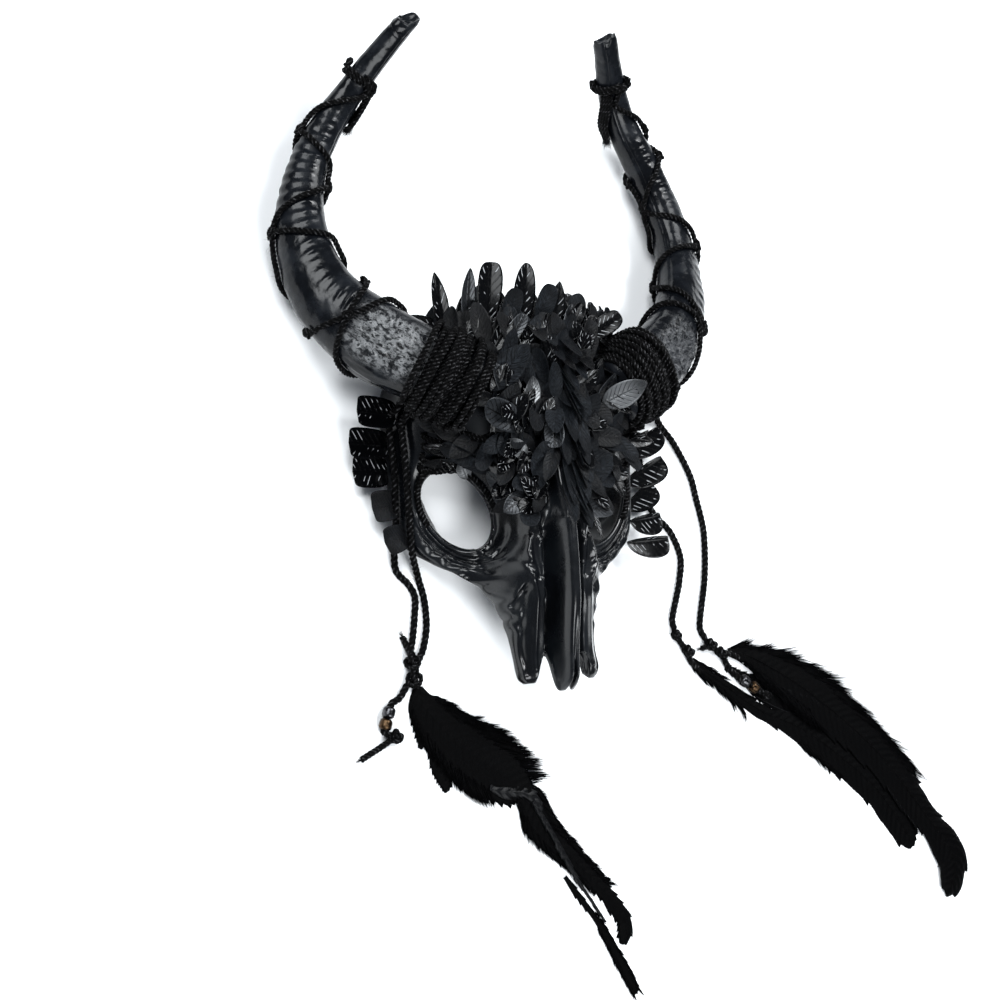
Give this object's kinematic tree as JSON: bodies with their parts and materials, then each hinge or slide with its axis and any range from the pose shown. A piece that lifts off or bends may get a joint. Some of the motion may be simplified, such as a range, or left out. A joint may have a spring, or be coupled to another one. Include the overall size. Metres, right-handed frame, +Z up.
{
  "type": "krampus mask",
  "caption": "Black horned animal-skull mask with rope-bound horns, a crest of leaves, and bead and feather tassels.",
  "frame": {"origin": "on the floor, under the middle of the mask without its tassels", "axes": "+Y towards the horn tips, +Z up out of the face, +X to the right of one who looks down on the face with the horns up"},
  "size_m": [0.4921, 0.6023, 0.0849],
  "materials": {
    "skull_resin": "glossy black, with sharp highlights",
    "horn_resin": "semi-gloss black, ribbed",
    "rope": "twisted black rope with stray fibres",
    "cord": "twisted black cord",
    "leaf": "black sheet leaves with raised veins, glossy or matt",
    "feather": "black feather with a soft sheen",
    "steel_bead": "dark polished metal",
    "bronze_bead": "dark bronze"
  },
  "bodies": {
    "root": {"bead_left_bronze": "bronze_bead", "bead_left_steel": "steel_bead", "bead_right_bronze": "bronze_bead", "bead_right_steel": "steel_bead", "cord_left_beads": "cord", "cord_left_inner": "cord", "cord_left_outer": "cord", "cord_right_beads": "cord", "cord_right_inner": "cord", "cord_right_outer": "cord", "feather_left_body": "feather", "feather_left_quill": "feather", "feather_left_strip": "feather", "feather_left_thin": "feather", "feather_right_lower": "feather", "feather_right_upper": "feather", "horn_lace_left": "rope", "horn_lace_right": "rope", "horn_left": "horn_resin", "horn_right": "horn_resin", "horn_wrap_left": "rope", "horn_wrap_right": "rope", "knot_left": "cord", "knot_left_tail": "cord", "knot_right_inner": "cord", "knot_right_outer": "cord", "knot_right_tail": "cord", "leaf_brow_1": "leaf", "leaf_brow_2": "leaf", "leaf_brow_3": "leaf", "leaf_brow_4": "leaf", "leaf_brow_5": "leaf", "leaf_crown_1": "leaf", "leaf_crown_2": "leaf", "leaf_crown_3": "leaf", "leaf_crown_4": "leaf", "leaf_crown_5": "leaf", "leaf_crown_6": "leaf", "leaf_crown_7": "leaf", "leaf_crown_8": "leaf", "leaf_crown_9": "leaf", "leaf_field_left": "leaf", "leaf_field_right": "leaf", "leaf_side_left_1": "leaf", "leaf_side_left_2": "leaf", "leaf_side_left_3": "leaf", "leaf_side_left_4": "leaf", "leaf_side_left_5": "leaf", "leaf_side_right_1": "leaf", "leaf_side_right_2": "leaf", "leaf_side_right_3": "leaf", "leaf_side_right_4": "leaf", "leaf_side_right_5": "leaf", "leaf_strip": "leaf", "skull_shell": "skull_resin"}
  },
  "joints": []
}
